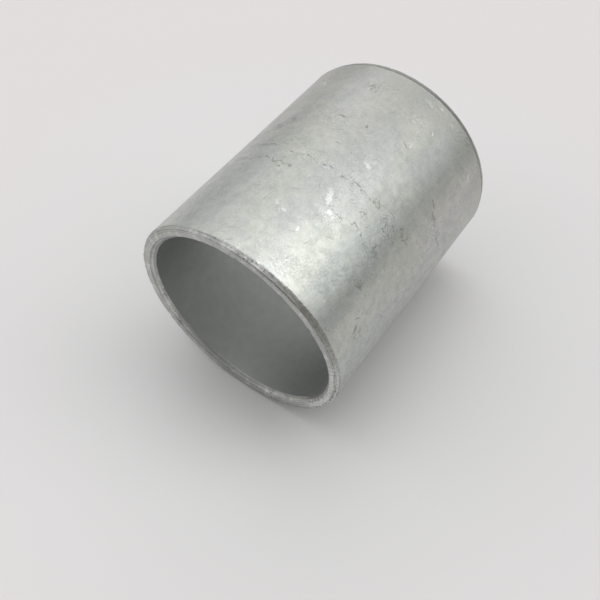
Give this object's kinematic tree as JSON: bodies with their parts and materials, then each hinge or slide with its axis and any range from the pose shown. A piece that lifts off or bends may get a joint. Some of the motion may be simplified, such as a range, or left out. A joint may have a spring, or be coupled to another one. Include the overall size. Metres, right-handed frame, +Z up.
{
  "type": "rigid sleeve coupling",
  "caption": "Plain round metal sleeve with a smooth through bore and chamfered, faced ends, joining two tubes or shafts in line.",
  "frame": {"origin": "the middle of the bore, on its axis, half way along the sleeve", "axes": "+Y along the bore axis, +Z up with the sleeve lying on its side, +X across"},
  "size_m": [0.05, 0.06, 0.05],
  "materials": {
    "sleeve": "satin mill finish with fine lengthwise drawing lines, handling scratches and small dents, turned end faces"
  },
  "bodies": {
    "root": {"sleeve": "sleeve"}
  },
  "joints": []
}
